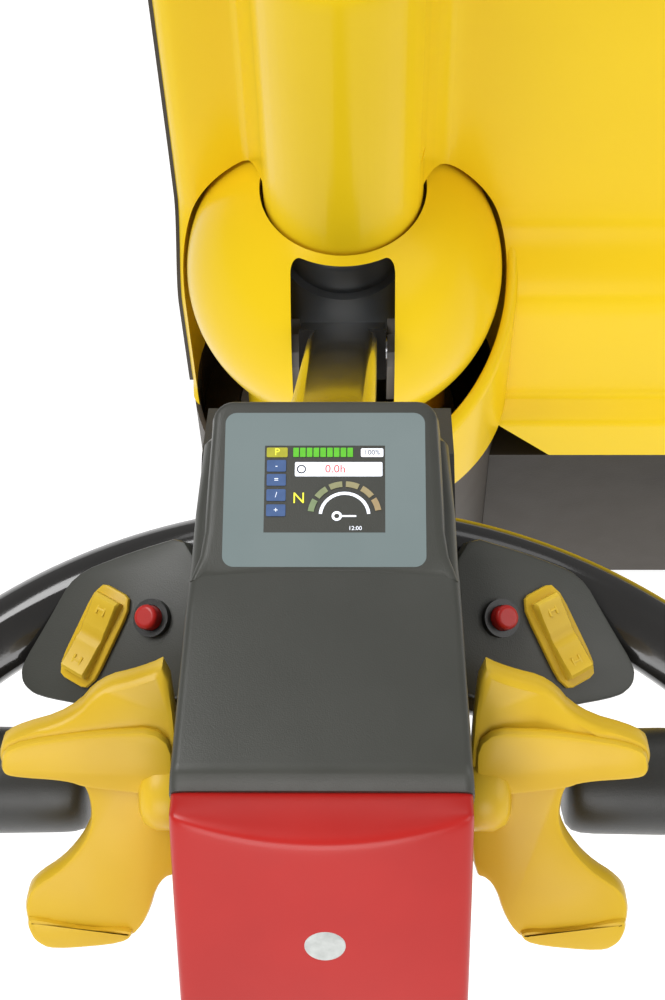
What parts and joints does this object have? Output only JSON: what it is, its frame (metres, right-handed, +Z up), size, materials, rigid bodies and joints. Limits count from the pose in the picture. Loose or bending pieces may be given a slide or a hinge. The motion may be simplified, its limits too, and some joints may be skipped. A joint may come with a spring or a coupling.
{
  "type": "electric pallet truck",
  "caption": "Electric pallet truck walked by its tiller: ball turret over the drive wheel, hood, battery box, lifting forks, and a head with levers, rocker switches and belly button.",
  "frame": {"origin": "on the floor under the middle of the truck's bounding box", "axes": "+Z up, +Y from the driver towards the fork tips, +X to the driver's right when facing the forks"},
  "size_m": [0.769, 2.3422, 1.0941],
  "materials": {
    "hood_yellow": "gloss",
    "lever_yellow": "satin",
    "chassis_dark": "matte",
    "fork_paint": "satin",
    "arm_black": "gloss",
    "head_grey": "satin",
    "black_plastic": "satin",
    "grip_rubber": "satin",
    "battery_shell": "satin",
    "signal_red": "gloss",
    "bezel_grey": "gloss",
    "screen": "gloss",
    "bright_steel": "brushed",
    "machine_grey": "satin",
    "cast_grey": "cast",
    "controller_alu": "satin",
    "tread": "satin"
  },
  "bodies": {
    "chassis": {"chassis_frame": "chassis_dark", "hood": "hood_yellow", "battery_case": "black_plastic", "battery_pack": "battery_shell", "battery_connector": "black_plastic", "controller": "controller_alu", "pump_unit": "machine_grey", "lift_cylinder": "machine_grey", "slewing_ring_outer": "bright_steel", "estop_base": "black_plastic", "key_switch": "bright_steel", "castor_mount": "chassis_dark"},
    "lid": {"battery_lid": "black_plastic"},
    "stop_knob": {"estop_knob": "signal_red"},
    "key": {"ignition_key": "bright_steel"},
    "turret": {"slewing_ring_inner": "bright_steel", "drive_housing": "cast_grey", "drive_motor": "machine_grey", "parking_brake": "machine_grey", "turret_bracket": "fork_paint", "hinge_pin": "bright_steel", "turret_cover": "hood_yellow"},
    "drive_wheel": {"drive_tyre": "tread", "drive_hub": "cast_grey"},
    "tiller": {"arm_knuckle": "arm_black", "tiller_arm": "arm_black", "head_housing": "head_grey", "head_base": "black_plastic", "display_bezel": "bezel_grey", "display_screen": "screen", "handle_loop": "black_plastic", "grip_left": "grip_rubber", "grip_right": "grip_rubber", "switch_panel_left": "head_grey", "switch_panel_right": "head_grey", "horn_collar_left": "black_plastic", "horn_collar_right": "black_plastic", "rocker_frame_left": "lever_yellow", "rocker_frame_right": "lever_yellow"},
    "belly": {"belly_button": "signal_red"},
    "throttle": {"throttle_left": "lever_yellow", "throttle_right": "lever_yellow", "throttle_shaft": "bright_steel"},
    "horn_l": {"horn_button_left": "signal_red"},
    "horn_r": {"horn_button_right": "signal_red"},
    "rock_l": {"rocker_left": "lever_yellow"},
    "rock_r": {"rocker_right": "lever_yellow"},
    "forks": {"fork_left": "fork_paint", "fork_right": "fork_paint", "fork_carriage": "fork_paint", "lift_rod": "bright_steel"},
    "arm_l": {"load_arm_left": "fork_paint"},
    "arm_r": {"load_arm_right": "fork_paint"},
    "wheel_l": {"load_wheel_left": "tread"},
    "wheel_r": {"load_wheel_right": "tread"},
    "rod_l": {"push_rod_left": "bright_steel"},
    "rod_r": {"push_rod_right": "bright_steel"},
    "castor": {"castor_fork": "chassis_dark"},
    "castor_roll": {"castor_wheel": "tread"}
  },
  "joints": [
    {"name": "lid_hinge", "type": "hinge", "parent": "chassis", "child": "lid", "pos_m": [0.0345, -0.00392, 0.694], "axis": [-1, 0, 0], "range_deg": [0, 80]},
    {"name": "stop_press", "type": "slide", "parent": "chassis", "child": "stop_knob", "axis": [0, 0, -1], "range_m": [0, 0.004], "stiffness_N_per_m": 400},
    {"name": "key_turn", "type": "hinge", "parent": "chassis", "child": "key", "pos_m": [0.2055, -0.32492, 0.885], "axis": [0, 0, -1], "range_deg": [0, 90]},
    {"name": "steer", "type": "hinge", "parent": "chassis", "child": "turret", "pos_m": [-0.1845, -0.43492, 0.268], "axis": [0, 0, 1], "range_deg": [-70, 70]},
    {"name": "drive_roll", "type": "hinge", "parent": "turret", "child": "drive_wheel", "pos_m": [-0.1845, -0.43492, 0.105], "axis": [1, 0, 0], "continuous": true},
    {"name": "tiller_tilt", "type": "hinge", "parent": "turret", "child": "tiller", "pos_m": [-0.1845, -0.52492, 0.527], "axis": [1, 0, 0], "range_deg": [-33, 33]},
    {"name": "belly_press", "type": "slide", "parent": "tiller", "child": "belly", "axis": [0, 1, 0], "range_m": [0, 0.008], "stiffness_N_per_m": 900},
    {"name": "throttle_turn", "type": "hinge", "parent": "tiller", "child": "throttle", "pos_m": [-0.1845, -1.06192, 1.024], "axis": [1, 0, 0], "range_deg": [-15, 15], "stiffness_Nm_per_rad": 2},
    {"name": "horn_left_press", "type": "slide", "parent": "tiller", "child": "horn_l", "axis": [0.3552, 0.318, -0.8791], "range_m": [0, 0.003], "stiffness_N_per_m": 300},
    {"name": "rocker_left_turn", "type": "hinge", "parent": "tiller", "child": "rock_l", "pos_m": [-0.28781, -0.99019, 1.02134], "axis": [-0.8955, 0.3856, -0.2223], "range_deg": [-6, 6], "stiffness_Nm_per_rad": 0.6},
    {"name": "horn_right_press", "type": "slide", "parent": "tiller", "child": "horn_r", "axis": [-0.3552, 0.318, -0.8791], "range_m": [0, 0.003], "stiffness_N_per_m": 300},
    {"name": "rocker_right_turn", "type": "hinge", "parent": "tiller", "child": "rock_r", "pos_m": [-0.08119, -0.99019, 1.02134], "axis": [-0.8955, -0.3856, 0.2223], "range_deg": [-6, 6], "stiffness_Nm_per_rad": 0.6},
    {"name": "fork_lift", "type": "slide", "parent": "chassis", "child": "forks", "axis": [0, 0, 1], "range_m": [0, 0.11]},
    {"name": "load_arm_left_swing", "type": "hinge", "parent": "forks", "child": "arm_l", "pos_m": [-0.1605, 0.86108, 0.038], "axis": [-1, 0, 0], "range_deg": [0, 43.6]},
    {"name": "load_wheel_left_roll", "type": "hinge", "parent": "arm_l", "child": "wheel_l", "pos_m": [-0.1605, 1.02108, 0.039], "axis": [1, 0, 0], "continuous": true},
    {"name": "push_rod_left_slide", "type": "slide", "parent": "forks", "child": "rod_l", "axis": [0, 1, 0], "range_m": [0, 0.0185]},
    {"name": "load_arm_right_swing", "type": "hinge", "parent": "forks", "child": "arm_r", "pos_m": [0.2295, 0.86108, 0.038], "axis": [-1, 0, 0], "range_deg": [0, 43.6]},
    {"name": "load_wheel_right_roll", "type": "hinge", "parent": "arm_r", "child": "wheel_r", "pos_m": [0.2295, 1.02108, 0.039], "axis": [1, 0, 0], "continuous": true},
    {"name": "push_rod_right_slide", "type": "slide", "parent": "forks", "child": "rod_r", "axis": [0, 1, 0], "range_m": [0, 0.0185]},
    {"name": "castor_swivel", "type": "hinge", "parent": "chassis", "child": "castor", "pos_m": [0.2675, -0.36492, 0.15], "axis": [0, 0, 1], "continuous": true},
    {"name": "castor_turn", "type": "hinge", "parent": "castor", "child": "castor_roll", "pos_m": [0.2675, -0.33692, 0.05], "axis": [1, 0, 0], "continuous": true}
  ],
  "couplings": [
    {"joint": "load_arm_left_swing", "follows": "fork_lift", "rad_per_m": 6.8702},
    {"joint": "load_arm_right_swing", "follows": "fork_lift", "rad_per_m": 6.8702},
    {"joint": "push_rod_left_slide", "follows": "fork_lift", "ratio": 0.161},
    {"joint": "push_rod_right_slide", "follows": "fork_lift", "ratio": 0.161}
  ]
}
